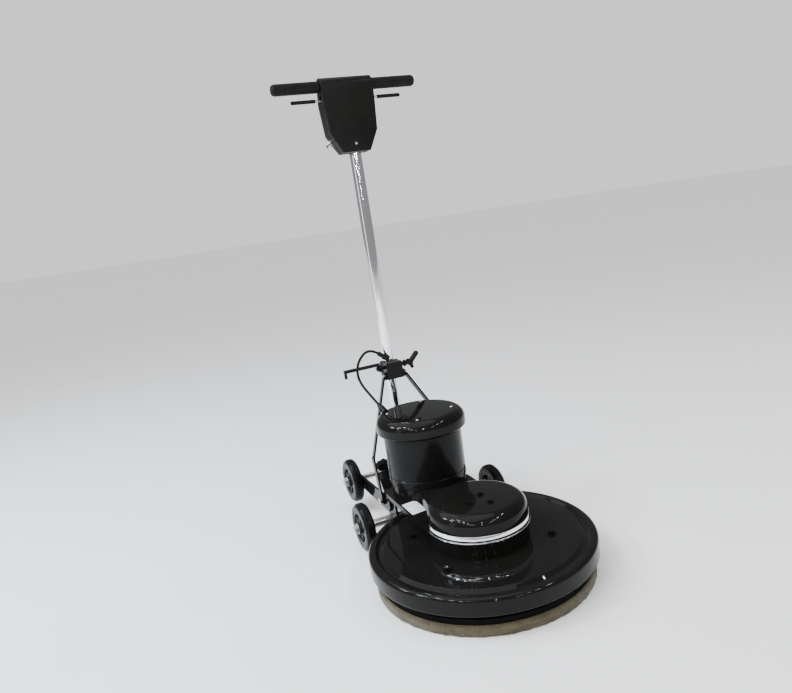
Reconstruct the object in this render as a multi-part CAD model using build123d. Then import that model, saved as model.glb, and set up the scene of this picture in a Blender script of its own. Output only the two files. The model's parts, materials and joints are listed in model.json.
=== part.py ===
from build123d import *
import math
import os

# A corded high-speed rotary floor burnisher.
# Frame: origin on the floor under the pad spindle, +Z up, front of the machine towards -Y, millimetres.

# Deck and pad
DECK_R = 266.0
SKIRT_Z = 52.0
RIM_Z = 91.0
DECK_TOP_Z = 92.0
GROOVE_Z = 86.0
SHEET = 3.0
PAD_R = 256.0
PAD_HOLE_R = 43.0
PAD_TOP_Z = 25.0
DRIVER_R = 250.0
DRIVER_TOP_Z = 40.0

# Frame plate
PLATE_R = 115.0
PLATE_TOP_Z = 127.0
PLATE_LOW_Z = 121.0
PLATE_RIM_Z = 115.0
PLATE_SIDE_Y = 318.0
PLATE_REAR_Y = 460.0
PLATE_REAR_X = 80.0

# Spindle and belt drive
SPINDLE_R = 12.5
SPINDLE_HOUSING_R = 115.0
SPINDLE_BEARING_R = 31.0
DRIVEN_R = 80.0
DRIVE_R = 35.0
PULLEY_LOW_Z = 132.0
PULLEY_TOP_Z = 152.0
BELT_T = 3.0
BELT_GAP = 0.3
BELT_W = 14.0
FIT = 0.05

# Belt cover
COVER_R = 117.0
COVER_TOP_R = 115.5
COVER_TOP_Z = 189.0
COVER_ROUND = 26.0
COVER_WALL = 2.5
BAND_R = 119.5
BAND_LOW_Z = 129.0
BAND_TOP_Z = 147.0
GUARD_TOP_Z = 158.0
GUARD_FRONT_X = 88.0
GUARD_REAR_X = 62.0
GUARD_FRONT_Y = 62.0
GUARD_REAR_Y = 200.0
BASE_GATE_X = 58.0

# Motor
MOTOR_Y = 271.0
MOTOR_R = 103.0
MOTOR_BASE_R = 100.0
MOTOR_BASE_TOP_Z = 163.0
MOTOR_TOP_Z = 300.0
MOTOR_WALL = 5.0
CAP_R = 118.0
CAP_LOW_Z = 293.0
CAP_TOP_Z = 339.0
CAP_ROUND = 26.0
ROTOR_SHAFT_R = 10.0
MOTOR_BEARING_R = 21.0

# Wheels
WHEEL_R = 63.5
WHEEL_W = 32.0
RIM_R = 44.0
AXLE_R = 8.0
FRONT_WHEEL = (194.0, 284.0, WHEEL_R)
REAR_WHEEL = (132.0, 546.0, 92.0)
ARM_IN_X = 109.0
ARM_T = 6.0

# Handle
LEAN_DEG = 1.85
PIVOT_Y = 437.0
PIVOT_Z = 155.0
PIN_R = 8.0
TUBE_R = 15.9
TUBE_WALL = 2.0
TUBE_TOP = 1000.0
BAR_Z = 1047.0
BAR_R = 11.0
BAR_HALF = 200.0
GRIP_R = 15.2
HOUSING_HALF = 72.0
HOUSING_CHIN = (66.0, 925.0)
HOUSING_FOOT = (39.0, 872.0)
HOUSING_ROLL_R = 22.0
HOUSING_REAR_Y = 34.0
HOUSING_WALL = 3.0
SPLIT_Y = 2.0
LEVER_Z = 1012.0
LEVER_R = 2.5
LEVER_HALF = 154.0
LEVER_AXIS = (20.0, 1005.0)
LEVER_AXIS_R = 4.0
LEVER_ARM_X = 44.0
SLEEVE_X = 88.0
BUTTON_X = 36.0
BUTTON_Z = 962.0
BUTTON_R = 8.0
SUPPLY_R = 8.0

# Collar, clamp and braces, heights measured along the tube from the pivot
COLLAR_LOW = 247.0
COLLAR_TOP = 293.0
COLLAR_R = 27.0
COLLAR_HALF = 24.0
COLLAR_FRONT_Y = -40.0
CLAMP_Y = -23.0
CLAMP_Z = 281.0
CLAMP_R = 5.0
CAM_X = 52.0
HOOK_X = -35.0
HOOK_END_X = -142.0
LINK_Y = -28.0
LINK_Z = 257.0
LINK_PIN_R = 4.0
LINK_CLEARANCE_R = 9.5
BRACE_TOP_X = 32.0
BRACE_IN_X = 24.8
BRACE_FOOT = (118.3, 330.0, 99.0)
BRACE_BEND = (125.0, 334.0, 218.0)
BRACE_T = 5.0
BRACE_W = 17.0
BOLT_R = 5.0

# Motor lead, from the gland on the tube to the gland on the motor cap
LEAD_D = 7.5
TUBE_GLAND = (-6.0, -20.0, 302.0)
TUBE_GLAND_WAY = (-0.76, 0.24, 0.60)
TUBE_GLAND_LENGTH = 34.0
CAP_GLAND = (-71.0, 346.0, 339.0)
CAP_GLAND_WAY = (-0.15, 0.87, 0.47)
CAP_GLAND_LENGTH = 24.0
LEAD_MIDDLE = [
    (-60.9, 447.0, 487.6),
    (-71.4, 457.0, 476.9),
    (-82.0, 465.0, 460.9),
    (-88.6, 470.0, 439.7),
    (-89.9, 470.0, 416.5),
    (-87.2, 455.0, 395.1),
    (-83.3, 425.0, 379.4),
]


def turned(points, rounds=()):
    """Revolve (radius, height) points about Z; rounds lists (point number, corner radius)."""
    outline = make_face(Polyline([(r, 0, z) for r, z in points], close=True))
    for number, radius in rounds:
        r, z = points[number]
        corner = [v for v in outline.vertices() if math.hypot(v.X - r, v.Z - z) < 1e-4]
        outline = fillet(corner, radius)
    return revolve(outline, Axis.Z)


def rod(radius, start, end):
    """Cylinder between two points."""
    run = Vector(*end) - Vector(*start)
    return Solid.make_cylinder(radius, run.length, Plane(origin=start, z_dir=run))


def pipe(outer, inner, start, end):
    """Hollow cylinder between two points."""
    return rod(outer, start, end) - rod(inner, start, end)


def hexagon(radius, start, end):
    """Hexagonal prism between two points."""
    run = Vector(*end) - Vector(*start)
    return extrude(Plane(origin=start, z_dir=run) * RegularPolygon(radius, 6), run.length)


def block(low, high):
    """Box between two corners."""
    size = [h - l for l, h in zip(low, high)]
    centre = [(l + h) / 2 for l, h in zip(low, high)]
    return Pos(*centre) * Box(*size)


def prism(points, low, high):
    """Extrude an XY outline from one height to another."""
    return Pos(0, 0, low) * extrude(make_face(Polyline(points, close=True)), high - low)


def mirrored(piece):
    """The piece and its twin across the plane X = 0."""
    return Compound(children=[piece, mirror(piece, Plane.YZ)])


def on_handle(piece):
    """Move a piece from the handle's own frame, origin at the pivot, into the machine."""
    return Location((0, PIVOT_Y, PIVOT_Z), (-LEAN_DEG, 0, 0)) * piece


def handle_point(x, y, z):
    """A point of the handle's own frame, in the machine's frame."""
    lean = math.radians(LEAN_DEG)
    return (
        x,
        PIVOT_Y + y * math.cos(lean) + z * math.sin(lean),
        PIVOT_Z - y * math.sin(lean) + z * math.cos(lean),
    )


# Deck, pad and spindle

def deck_shroud():
    groove = [(247, RIM_Z), (241, GROOVE_Z), (237, GROOVE_Z), (229, DECK_TOP_Z)]
    outside = [(DECK_R, SKIRT_Z), (DECK_R, RIM_Z), *groove, (40, DECK_TOP_Z)]
    inside = [
        (40, DECK_TOP_Z - SHEET),
        (228, DECK_TOP_Z - SHEET),
        (236, GROOVE_Z - SHEET),
        (242, GROOVE_Z - SHEET),
        (248, RIM_Z - SHEET),
        (DECK_R - SHEET, RIM_Z - SHEET),
        (DECK_R - SHEET, SKIRT_Z),
    ]
    return turned(outside + inside, rounds=((1, 9), (12, 6)))


def spindle_housing():
    """Drum between the deck and the frame plate, with the bearing hub in its middle."""
    floor_z = DECK_TOP_Z + 6
    outer, inner = SPINDLE_HOUSING_R, SPINDLE_BEARING_R
    drum = [(outer, DECK_TOP_Z), (outer, PLATE_RIM_Z), (110, PLATE_RIM_Z), (110, floor_z)]
    hub = [(45, floor_z), (45, PLATE_LOW_Z), (inner, PLATE_LOW_Z), (inner, DECK_TOP_Z)]
    return turned(drum + hub)


def bearing(outer, inner, y, low, high):
    ring = turned([(inner, low), (outer, low), (outer, high), (inner, high)])
    return Pos(0, y, 0) * ring


def spindle_bearings():
    inner = SPINDLE_R + FIT
    lower = bearing(SPINDLE_BEARING_R, inner, 0, 93, 104)
    upper = bearing(SPINDLE_BEARING_R, inner, 0, 108, 119)
    return Compound(children=[lower, upper])


def spindle_shaft():
    flange = [(0, DRIVER_TOP_Z), (30, DRIVER_TOP_Z), (30, 52), (SPINDLE_R, 52)]
    return turned(flange + [(SPINDLE_R, 170), (0, 170)])


def driven_pulley():
    rim = [(SPINDLE_R, PULLEY_LOW_Z), (DRIVEN_R, PULLEY_LOW_Z), (DRIVEN_R, PULLEY_TOP_Z), (70, PULLEY_TOP_Z)]
    web = [(70, 142), (28, 142), (28, PULLEY_TOP_Z), (SPINDLE_R, PULLEY_TOP_Z)]
    return turned(rim + web)


def pad_driver():
    low = PAD_TOP_Z
    rim = [(PAD_HOLE_R, low), (DRIVER_R, low), (DRIVER_R, DRIVER_TOP_Z - 2), (232, DRIVER_TOP_Z - 2)]
    hub = [(220, 32), (70, 32), (60, DRIVER_TOP_Z), (0, DRIVER_TOP_Z), (0, 30), (PAD_HOLE_R, 30)]
    return turned(rim + hub)


def polishing_pad():
    outline = [(PAD_HOLE_R, 0), (PAD_R, 0), (PAD_R, PAD_TOP_Z), (PAD_HOLE_R, PAD_TOP_Z)]
    return turned(outline, rounds=((1, 4), (2, 4)))


def centre_lock():
    lock = turned([(0, 12), (36, 12), (41, 16), (41, 21), (18, 21), (18, 30), (0, 30)])
    for turn in range(0, 360, 90):
        lock -= Rot(0, 0, turn) * block((20, -5, 11), (37, 5, 15))
    return lock


def deck_bolts():
    bolts = []
    for foot in ((134, -93), (-134, -93), (134, 93), (-134, 93)):
        washer = rod(12, (*foot, DECK_TOP_Z), (*foot, DECK_TOP_Z + 1.5))
        bolts.append(washer + hexagon(8, (*foot, DECK_TOP_Z + 1.5), (*foot, DECK_TOP_Z + 8)))
    return Compound(children=bolts)


# Frame

def plate_outline():
    side = Line((PLATE_R, 0), (PLATE_R, PLATE_SIDE_Y))
    taper = Line((PLATE_R, PLATE_SIDE_Y), (PLATE_REAR_X, PLATE_REAR_Y))
    rear = Line((PLATE_REAR_X, PLATE_REAR_Y), (-PLATE_REAR_X, PLATE_REAR_Y))
    taper_back = Line((-PLATE_REAR_X, PLATE_REAR_Y), (-PLATE_R, PLATE_SIDE_Y))
    side_back = Line((-PLATE_R, PLATE_SIDE_Y), (-PLATE_R, 0))
    nose = ThreePointArc((-PLATE_R, 0), (0, -PLATE_R), (PLATE_R, 0))
    return make_face([side, taper, rear, taper_back, side_back, nose])


def frame_plate():
    outline = plate_outline()
    plate = Pos(0, 0, PLATE_RIM_Z) * extrude(outline, PLATE_TOP_Z - PLATE_RIM_Z)
    pan = offset(outline, -4)
    plate -= Pos(0, 0, PLATE_RIM_Z) * extrude(pan, PLATE_LOW_Z - PLATE_RIM_Z)
    plate -= rod(SPINDLE_BEARING_R, (0, 0, 100), (0, 0, 140))
    x_out, y, z = ARM_IN_X, FRONT_WHEEL[1], FRONT_WHEEL[2]
    for side in (-1, 1):
        hanger = block((x_out - 6, y - 22, z - 14), (x_out, y + 36, PLATE_LOW_Z))
        hanger -= rod(11, (x_out - 8, y, z), (x_out + 2, y, z))
        ear = block((60, PIVOT_Y - 22, PLATE_LOW_Z), (68, PIVOT_Y + 20, PIVOT_Z + 8))
        ear += rod(18, (60, PIVOT_Y, PIVOT_Z), (68, PIVOT_Y, PIVOT_Z))
        ear -= rod(PIN_R, (55, PIVOT_Y, PIVOT_Z), (75, PIVOT_Y, PIVOT_Z))
        if side < 0:
            hanger = mirror(hanger, Plane.YZ)
            ear = mirror(ear, Plane.YZ)
        plate += hanger
        plate += ear
    return plate


def rear_arm():
    """Flat bar from the frame back to the rear axle, on the +X side."""
    x = ARM_IN_X
    y_end, z_end = REAR_WHEEL[1], REAR_WHEEL[2]
    top_edge = [(288, PLATE_RIM_Z), (350, PLATE_RIM_Z), (y_end, z_end + 18)]
    low_edge = [(y_end, z_end - 18), (300, 76), (288, 90)]
    face = make_face(Polyline([(x, py, pz) for py, pz in top_edge + low_edge], close=True))
    arm = extrude(face, ARM_T, dir=(1, 0, 0))
    arm += rod(18, (x, y_end, z_end), (x + ARM_T, y_end, z_end))
    arm -= rod(AXLE_R, (x - 2, y_end, z_end), (x + ARM_T + 2, y_end, z_end))
    arm -= rod(BOLT_R, (x - 2, *BRACE_FOOT[1:]), (x + ARM_T + 2, *BRACE_FOOT[1:]))
    return arm


def rear_arms():
    return mirrored(rear_arm())


def front_axle():
    x, y, z = FRONT_WHEEL
    shoulder = x - WHEEL_W / 2 - 1.5
    axle = rod(AXLE_R, (-x - 22, y, z), (x + 22, y, z))
    return axle + rod(11, (-shoulder, y, z), (shoulder, y, z))


def rear_axle():
    x, y, z = REAR_WHEEL
    return rod(AXLE_R, (-x - 22, y, z), (x + 22, y, z))


def hub_nuts():
    nuts = []
    for x, y, z in (FRONT_WHEEL, REAR_WHEEL):
        face = x + WHEEL_W / 2 + 1.5
        for side in (-1, 1):
            washer = pipe(14, AXLE_R, (side * face, y, z), (side * (face + 1.5), y, z))
            nut = hexagon(13, (side * (face + 1.5), y, z), (side * (face + 8), y, z))
            crown = rod(9, (side * (face + 8), y, z), (side * (face + 11), y, z))
            nut = nut + crown - rod(AXLE_R, (0, y, z), (side * (face + 4.5), y, z))
            nuts.append(washer + nut)
    return Compound(children=nuts)


def pivot_pin():
    y, z = PIVOT_Y, PIVOT_Z
    pin = rod(PIN_R, (-80, y, z), (80, y, z))
    for side in (-1, 1):
        pin += hexagon(16, (side * 68, y, z), (side * 80, y, z))
        pin += rod(11, (side * 80, y, z), (side * 84, y, z))
    return pin


def brace_bolts():
    _, y, z = BRACE_FOOT
    inner, outer = ARM_IN_X - 6, BRACE_FOOT[0] + BRACE_T / 2 + 1
    bolt = rod(BOLT_R, (ARM_IN_X, y, z), (outer, y, z))
    bolt += hexagon(9, (inner, y, z), (ARM_IN_X, y, z))
    bolt += hexagon(9, (outer, y, z), (outer + 6, y, z))
    return mirrored(bolt)


# Belt drive

def belt_loop(grow):
    """Face round both pulleys, standing grow outside their rims."""
    big, small = DRIVEN_R + grow, DRIVE_R + grow
    slant = math.asin((big - small) / MOTOR_Y)
    cos, sin = math.cos(slant), math.sin(slant)
    right = Line((big * cos, big * sin), (small * cos, MOTOR_Y + small * sin))
    small_y = MOTOR_Y + small * sin
    rear = ThreePointArc((small * cos, small_y), (0, MOTOR_Y + small), (-small * cos, small_y))
    left = Line((-small * cos, small_y), (-big * cos, big * sin))
    front = ThreePointArc((-big * cos, big * sin), (0, -big), (big * cos, big * sin))
    return make_face([right, rear, left, front])


def drive_belt():
    loop = belt_loop(BELT_GAP + BELT_T) - belt_loop(BELT_GAP)
    middle = (PULLEY_LOW_Z + PULLEY_TOP_Z) / 2
    return Pos(0, 0, middle - BELT_W / 2) * extrude(loop, BELT_W)


def drive_pulley():
    low, high = PULLEY_LOW_Z, PULLEY_TOP_Z
    outline = [(ROTOR_SHAFT_R, low), (DRIVE_R, low), (DRIVE_R, high), (ROTOR_SHAFT_R, high)]
    return Pos(0, MOTOR_Y, 0) * turned(outline)


def guard_block(grow, low, high):
    """Tapered block over the belt, between the round cover and the motor base."""
    front, rear = GUARD_FRONT_X + grow, GUARD_REAR_X + grow
    points = [(-front, GUARD_FRONT_Y), (front, GUARD_FRONT_Y), (rear, GUARD_REAR_Y), (-rear, GUARD_REAR_Y)]
    return prism(points, low, high)


def belt_cover():
    wall = COVER_WALL
    outside = [(0, COVER_TOP_Z), (COVER_TOP_R, COVER_TOP_Z), (COVER_R, PLATE_TOP_Z)]
    top = COVER_TOP_Z - wall
    inside = [(COVER_R - wall, PLATE_TOP_Z), (COVER_TOP_R - wall, top), (0, top)]
    cover = turned(outside + inside, rounds=((1, COVER_ROUND), (4, COVER_ROUND - wall)))
    return cover - guard_block(0, PLATE_TOP_Z, GUARD_TOP_Z)


def cover_band():
    inner, low, high = COVER_R + 0.1, BAND_LOW_Z, BAND_TOP_Z
    band = turned([(inner, low), (BAND_R, low), (BAND_R, high), (inner, high)])
    return band - block((-150, 20, 120), (150, 150, 160))


def cover_screws():
    screws = []
    for x, y in ((13, -46), (15, 4), (-31, -25)):
        head = rod(9, (x, y, COVER_TOP_Z), (x, y, COVER_TOP_Z + 1.5))
        screws.append(head + hexagon(6.5, (x, y, COVER_TOP_Z + 1.5), (x, y, COVER_TOP_Z + 6)))
    return Compound(children=screws)


def belt_guard():
    guard = guard_block(0, PLATE_TOP_Z, GUARD_TOP_Z)
    guard -= guard_block(-COVER_WALL, PLATE_TOP_Z, GUARD_TOP_Z - COVER_WALL)
    guard -= rod(COVER_R, (0, 0, 100), (0, 0, COVER_TOP_Z))
    return guard - rod(MOTOR_BASE_R, (0, MOTOR_Y, 100), (0, MOTOR_Y, COVER_TOP_Z))


# Motor

def motor_base():
    low, high = PLATE_TOP_Z, MOTOR_BASE_TOP_Z
    wall = [(MOTOR_BASE_R - 6, low), (MOTOR_BASE_R, low), (MOTOR_BASE_R, high), (MOTOR_BEARING_R, high)]
    plate = [(MOTOR_BEARING_R, high - 8), (MOTOR_BASE_R - 6, high - 8)]
    base = Pos(0, MOTOR_Y, 0) * turned(wall + plate)
    return base - block((-BASE_GATE_X, 150, low), (BASE_GATE_X, MOTOR_Y - 60, high - 8))


def motor_housing():
    low, high = MOTOR_BASE_TOP_Z, MOTOR_TOP_Z
    inner = MOTOR_R - MOTOR_WALL
    return Pos(0, MOTOR_Y, 0) * turned([(inner, low), (MOTOR_R, low), (MOTOR_R, high), (inner, high)])


def motor_end_bell():
    inner = MOTOR_R - MOTOR_WALL
    bell = turned([(MOTOR_BEARING_R, 280), (inner, 280), (inner, 288), (MOTOR_BEARING_R, 288)])
    for turn in range(0, 360, 60):
        bell -= Rot(0, 0, turn) * rod(16, (62, 0, 270), (62, 0, 300))
    return Pos(0, MOTOR_Y, 0) * bell


def cap_outside():
    """The motor cap's outer shape, filled."""
    points = [(0, CAP_LOW_Z), (CAP_R, CAP_LOW_Z), (CAP_R, CAP_TOP_Z), (0, CAP_TOP_Z)]
    return Pos(0, MOTOR_Y, 0) * turned(points, rounds=((1, 6), (2, CAP_ROUND)))


def motor_cap():
    seat_z = CAP_LOW_Z + 10
    inner_r = CAP_R - SHEET
    bore = [(0, CAP_LOW_Z), (MOTOR_R, CAP_LOW_Z), (MOTOR_R, seat_z), (inner_r, seat_z)]
    roof = [(inner_r, CAP_TOP_Z - SHEET), (0, CAP_TOP_Z - SHEET)]
    hollow = turned(bore + roof, rounds=((4, CAP_ROUND - SHEET),))
    return cap_outside() - Pos(0, MOTOR_Y, 0) * hollow


def cap_gland_point(reach):
    """A point on the motor cap gland's axis, reach outside the cap."""
    return Vector(*CAP_GLAND) + Vector(*CAP_GLAND_WAY).normalized() * reach


def motor_cord_gland():
    waist = cap_gland_point(14)
    body = rod(9, cap_gland_point(-8), waist) + rod(7, waist, cap_gland_point(CAP_GLAND_LENGTH))
    return body - cap_outside()


def motor_stator():
    outer = MOTOR_R - MOTOR_WALL
    core = turned([(58, 200), (outer, 200), (outer, 260), (58, 260)])
    coils = turned([(62, 186), (88, 186), (88, 272), (62, 272)])
    return Pos(0, MOTOR_Y, 0) * (core + coils)


def motor_bearings():
    inner = ROTOR_SHAFT_R + FIT
    lower = bearing(MOTOR_BEARING_R, inner, MOTOR_Y, 155, MOTOR_BASE_TOP_Z)
    upper = bearing(MOTOR_BEARING_R, inner, MOTOR_Y, 280, 288)
    return Compound(children=[lower, upper])


def rotor_shaft():
    return rod(ROTOR_SHAFT_R, (0, MOTOR_Y, 129), (0, MOTOR_Y, 326))


def rotor_core():
    return Pos(0, MOTOR_Y, 0) * turned([(ROTOR_SHAFT_R, 198), (57.2, 198), (57.2, 262), (ROTOR_SHAFT_R, 262)])


def cooling_fan():
    fan = turned([(ROTOR_SHAFT_R, 304), (88, 304), (88, 307), (18, 307), (18, 318), (ROTOR_SHAFT_R, 318)])
    blade = block((17, -1.2, 306), (86, 1.2, 324))
    for turn in range(0, 360, 45):
        fan += Rot(0, 0, turn) * blade
    return Pos(0, MOTOR_Y, 0) * fan


# Wheels

def wheel_tyre():
    half = WHEEL_W / 2
    outline = [(RIM_R, -half + 2), (WHEEL_R, -half + 2), (WHEEL_R, half - 2), (RIM_R, half - 2)]
    return turned(outline, rounds=((1, 8), (2, 8)))


def wheel_rim():
    half = WHEEL_W / 2
    bore = AXLE_R + FIT
    rim = turned([(38, -half + 3), (RIM_R, -half + 3), (RIM_R, half - 3), (38, half - 3)])
    hub = turned([(bore, -half - 1), (15, -half - 1), (15, half + 1), (bore, half + 1)])
    web = turned([(14, -4), (39, -4), (39, 4), (14, 4)])
    for turn in range(0, 360, 60):
        web -= Rot(0, 0, turn + 30) * rod(7.5, (27, 0, -10), (27, 0, 10))
        web += Rot(0, 0, turn) * block((14, -3, -10), (39, 3, 10))
    return rim + hub + web


def on_axle(piece, wheel, side):
    """Turn a piece's axis from Z to X and set it at a wheel's centre."""
    x, y, z = wheel
    return Location((side * x, y, z), (0, side * 90, 0)) * piece


# Handle

def handle_foot():
    foot = rod(14, (-58, 0, 0), (58, 0, 0)) + rod(21, (0, 0, 0), (0, 0, 90))
    foot -= rod(PIN_R + FIT, (-60, 0, 0), (60, 0, 0))
    return on_handle(foot - rod(TUBE_R, (0, 0, 20), (0, 0, 95)))


def handle_tube():
    tube = pipe(TUBE_R, TUBE_R - TUBE_WALL, (0, 0, 20), (0, 0, TUBE_TOP))
    strap = block((-14, -15.5, 950), (14, -10.5, BAR_Z + 8)) - rod(BAR_R, (-20, 0, BAR_Z), (20, 0, BAR_Z))
    return on_handle(tube + strap)


def grip_bar():
    return on_handle(pipe(BAR_R, BAR_R - 2, (-196, 0, BAR_Z), (196, 0, BAR_Z)))


def grip(side):
    length = BAR_HALF - HOUSING_HALF - 0.5
    sleeve = turned([(0, 0), (GRIP_R, 0), (GRIP_R, length), (0, length)], rounds=((2, 6),))
    sleeve -= rod(BAR_R, (0, 0, -1), (0, 0, 196 - HOUSING_HALF - 0.5))
    placed = Location((side * (HOUSING_HALF + 0.5), 0, BAR_Z), (0, side * 90, 0)) * sleeve
    return on_handle(placed)


def housing_block(inset):
    """Solid shape of the switch housing, drawn in by inset on every side."""
    half = HOUSING_HALF - inset
    low = HOUSING_FOOT[1] + inset
    chin = (HOUSING_CHIN[0] - inset, HOUSING_CHIN[1])
    right = [(half, 1100), (half, 1008), chin, (HOUSING_FOOT[0] - inset * 0.6, low)]
    left = [(-x, z) for x, z in reversed(right)]
    shield = make_face(Polyline([(x, 0, z) for x, z in right + left], close=True))
    shield = extrude(shield, 100, dir=(0, 1, 0), both=True)
    roll = HOUSING_ROLL_R - inset
    rear = HOUSING_REAR_Y - inset
    arc = ThreePointArc((0, -roll, BAR_Z), (0, 0, BAR_Z + roll), (0, roll, BAR_Z))
    back = [(0, roll, BAR_Z), (0, rear, 1002), (0, rear, 905), (0, rear - 12, low), (0, -roll, low)]
    profile = make_face([arc, Polyline(*back, (0, -roll, BAR_Z))])
    return shield & extrude(profile, 100, dir=(1, 0, 0), both=True)


def housing_shell():
    shell = housing_block(0) - housing_block(HOUSING_WALL)
    shell -= rod(TUBE_R, (0, 0, 860), (0, 0, 900))
    shell -= rod(BAR_R, (-90, 0, BAR_Z), (90, 0, BAR_Z))
    shell -= block((-90, -6, LEVER_Z - 5), (90, 8.5, LEVER_Z + 13))
    return shell - rod(SUPPLY_R, supply_point(-12), supply_point(4))


def housing_front():
    return on_handle(housing_shell() & block((-100, -60, 800), (100, SPLIT_Y, 1100)))


def housing_rear():
    y, z = LEVER_AXIS
    rear = housing_shell() & block((-100, SPLIT_Y, 800), (100, 60, 1100))
    for side in (-1, 1):
        rear += pipe(7, LEVER_AXIS_R + FIT, (side * 60, y, z), (side * (HOUSING_HALF - 2), y, z))
    return on_handle(rear - rod(BUTTON_R + FIT, (BUTTON_X, 25, BUTTON_Z), (BUTTON_X, 45, BUTTON_Z)))


def supply_point(reach):
    """A point on the supply gland's axis, square to the housing's lower left edge, reach outside it."""
    chin, foot = Vector(*HOUSING_CHIN), Vector(*HOUSING_FOOT)
    edge = foot - chin
    spot = chin + edge * 0.4 + Vector(-edge.Y, edge.X).normalized() * reach
    return (-spot.X, 12, spot.Y)


def supply_gland():
    gland = rod(SUPPLY_R, supply_point(-8), supply_point(0))
    gland += hexagon(10, supply_point(0), supply_point(7))
    gland += rod(8, supply_point(7), supply_point(18))
    return on_handle(gland - rod(5, supply_point(-10), supply_point(30)))


def switch_box():
    box = block((-22, 16.8, 925), (10, HOUSING_REAR_Y - HOUSING_WALL, 985))
    return on_handle(box + block((-14, 19, 985), (-2, 27, 992)))


def lock_button():
    x, z = BUTTON_X, BUTTON_Z
    flange_y = HOUSING_REAR_Y - HOUSING_WALL - BELT_GAP
    button = rod(BUTTON_R, (x, flange_y, z), (x, HOUSING_REAR_Y + 6, z))
    return on_handle(button + rod(11, (x, flange_y - 2, z), (x, flange_y, z)))


def lever_rod():
    y, z = LEVER_AXIS
    end_x = LEVER_HALF - 4
    lever = rod(LEVER_R, (-end_x, 0, LEVER_Z), (end_x, 0, LEVER_Z))
    for side in (-1, 1):
        x = side * LEVER_ARM_X
        lever += block((x - 3, -3, LEVER_Z - 4), (x + 3, y + 3, LEVER_Z + 2))
    axle_x = HOUSING_HALF - HOUSING_WALL - 0.5
    return on_handle(lever + rod(LEVER_AXIS_R, (-axle_x, y, z), (axle_x, y, z)))


def lever_sleeves():
    length = LEVER_HALF - SLEEVE_X
    bore = [(0, length), (0, length - 4), (LEVER_R, length - 4)]
    sleeve = turned([(LEVER_R, 0), (4.8, 0), (4.8, length)] + bore, rounds=((2, 2.5),))
    placed = [Location((side * SLEEVE_X, 0, LEVER_Z), (0, side * 90, 0)) * sleeve for side in (-1, 1)]
    return on_handle(Compound(children=placed))


def tube_gland_point(reach):
    """A point of the handle's frame on the tube gland's axis, reach along it."""
    return Vector(*TUBE_GLAND) + Vector(*TUBE_GLAND_WAY).normalized() * reach


def tube_gland():
    waist = tube_gland_point(18)
    gland = rod(8.5, tube_gland_point(0), waist) + rod(6.5, waist, tube_gland_point(TUBE_GLAND_LENGTH))
    return on_handle(gland - rod(TUBE_R, (0, 0, 200), (0, 0, 400)))


# Collar, clamp, hook and braces

def collar():
    low, high = COLLAR_LOW, COLLAR_TOP
    body = rod(COLLAR_R, (0, 0, low), (0, 0, high))
    body += block((-COLLAR_HALF, COLLAR_FRONT_Y, low), (COLLAR_HALF, 0, high))
    ear = block((1.5, 20, low + 4), (12, 42, high - 4))
    body += ear + mirror(ear, Plane.YZ)
    body -= rod(LINK_CLEARANCE_R, (-30, LINK_Y, LINK_Z), (30, LINK_Y, LINK_Z))
    body -= rod(TUBE_R + FIT, (0, 0, low - 10), (0, 0, high + 10))
    body -= block((-1.5, 10, low - 5), (1.5, 45, high + 5))
    body += rod(CLAMP_R, (-48, CLAMP_Y, CLAMP_Z), (-COLLAR_HALF, CLAMP_Y, CLAMP_Z))
    body += rod(CLAMP_R, (COLLAR_HALF, CLAMP_Y, CLAMP_Z), (CAM_X - 4, CLAMP_Y, CLAMP_Z))
    body += hexagon(7.5, (-46, CLAMP_Y, CLAMP_Z), (-42, CLAMP_Y, CLAMP_Z))
    return on_handle(body + hexagon(10, (34.5, CLAMP_Y, CLAMP_Z), (40, CLAMP_Y, CLAMP_Z)))


def cam_lever():
    x, y, z = CAM_X, CLAMP_Y, CLAMP_Z
    knuckle = rod(9, (x, y - 9, z), (x, y + 9, z))
    knuckle -= block((x - 12, y - 6, z - 12), (x + 5, y + 6, z + 12))
    tail = rod(5, (x + 4, y, z - 6), (x + 8, y, z - 17))
    arm = rod(5, (x + 6, y, z), (x + 10, y, z + 8))
    handle = rod(7.5, (x + 7, y, z + 4), (x + 24, y, z + 21)) + Pos(x + 24, y, z + 21) * Sphere(7.5)
    return on_handle(knuckle + tail + arm + handle)


def cord_hook():
    eye = pipe(10, CLAMP_R + FIT, (HOOK_X - 6, CLAMP_Y, CLAMP_Z), (HOOK_X, CLAMP_Y, CLAMP_Z))
    low, high = CLAMP_Z + 7.5, CLAMP_Z + 16
    arm = block((HOOK_END_X, CLAMP_Y - 4, low), (HOOK_X - 3, CLAMP_Y + 4, high))
    tip = block((HOOK_END_X, CLAMP_Y - 4, high - 24), (HOOK_END_X + 7, CLAMP_Y + 4, high))
    return on_handle(eye + arm + tip)


def flat_bar(start, end):
    """Flat bar between two points, its face as near the YZ plane as the run allows."""
    run = Vector(*end) - Vector(*start)
    direction = run.normalized()
    across = direction.cross(Vector(1, 0, 0)).normalized()
    middle = (Vector(*start) + Vector(*end)) * 0.5
    place = Plane(origin=middle, x_dir=direction, z_dir=direction.cross(across))
    return place * Box(run.length, BRACE_W, BRACE_T)


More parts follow.
